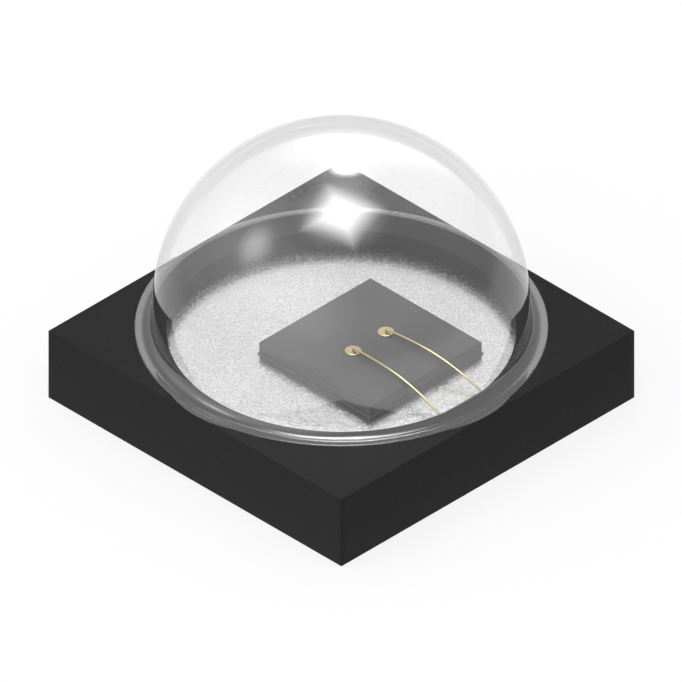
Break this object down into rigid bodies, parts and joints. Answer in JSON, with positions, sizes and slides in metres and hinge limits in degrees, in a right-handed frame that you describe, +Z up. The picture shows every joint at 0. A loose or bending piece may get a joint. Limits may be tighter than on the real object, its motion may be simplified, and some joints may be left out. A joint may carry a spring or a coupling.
{
  "type": "infrared emitter diode",
  "caption": "Square black surface-mount package with a clear domed lens over a silver pocket that holds a chip and gold bond wires.",
  "frame": {"origin": "middle of the solder side, on the plane on which the package rests", "axes": "+Z up through the dome; +X towards the outer pad of the wire lead; +Y completes the right-handed frame"},
  "size_m": [0.0038, 0.0038, 0.0027],
  "materials": {
    "moulding_compound": "matt black moulded epoxy",
    "plated_lead": "satin silver plating",
    "die_attach": "grey solder layer",
    "chip": "dark grey polished semiconductor",
    "gold_wire": "bright gold",
    "clear_lens": "clear glossy cast silicone"
  },
  "bodies": {
    "root": {"package_body": "moulding_compound", "die_lead": "plated_lead", "wire_lead": "plated_lead", "die_attach": "die_attach", "emitter_chip": "chip", "bond_wire_front": "gold_wire", "bond_wire_back": "gold_wire", "lens": "clear_lens"}
  },
  "joints": []
}
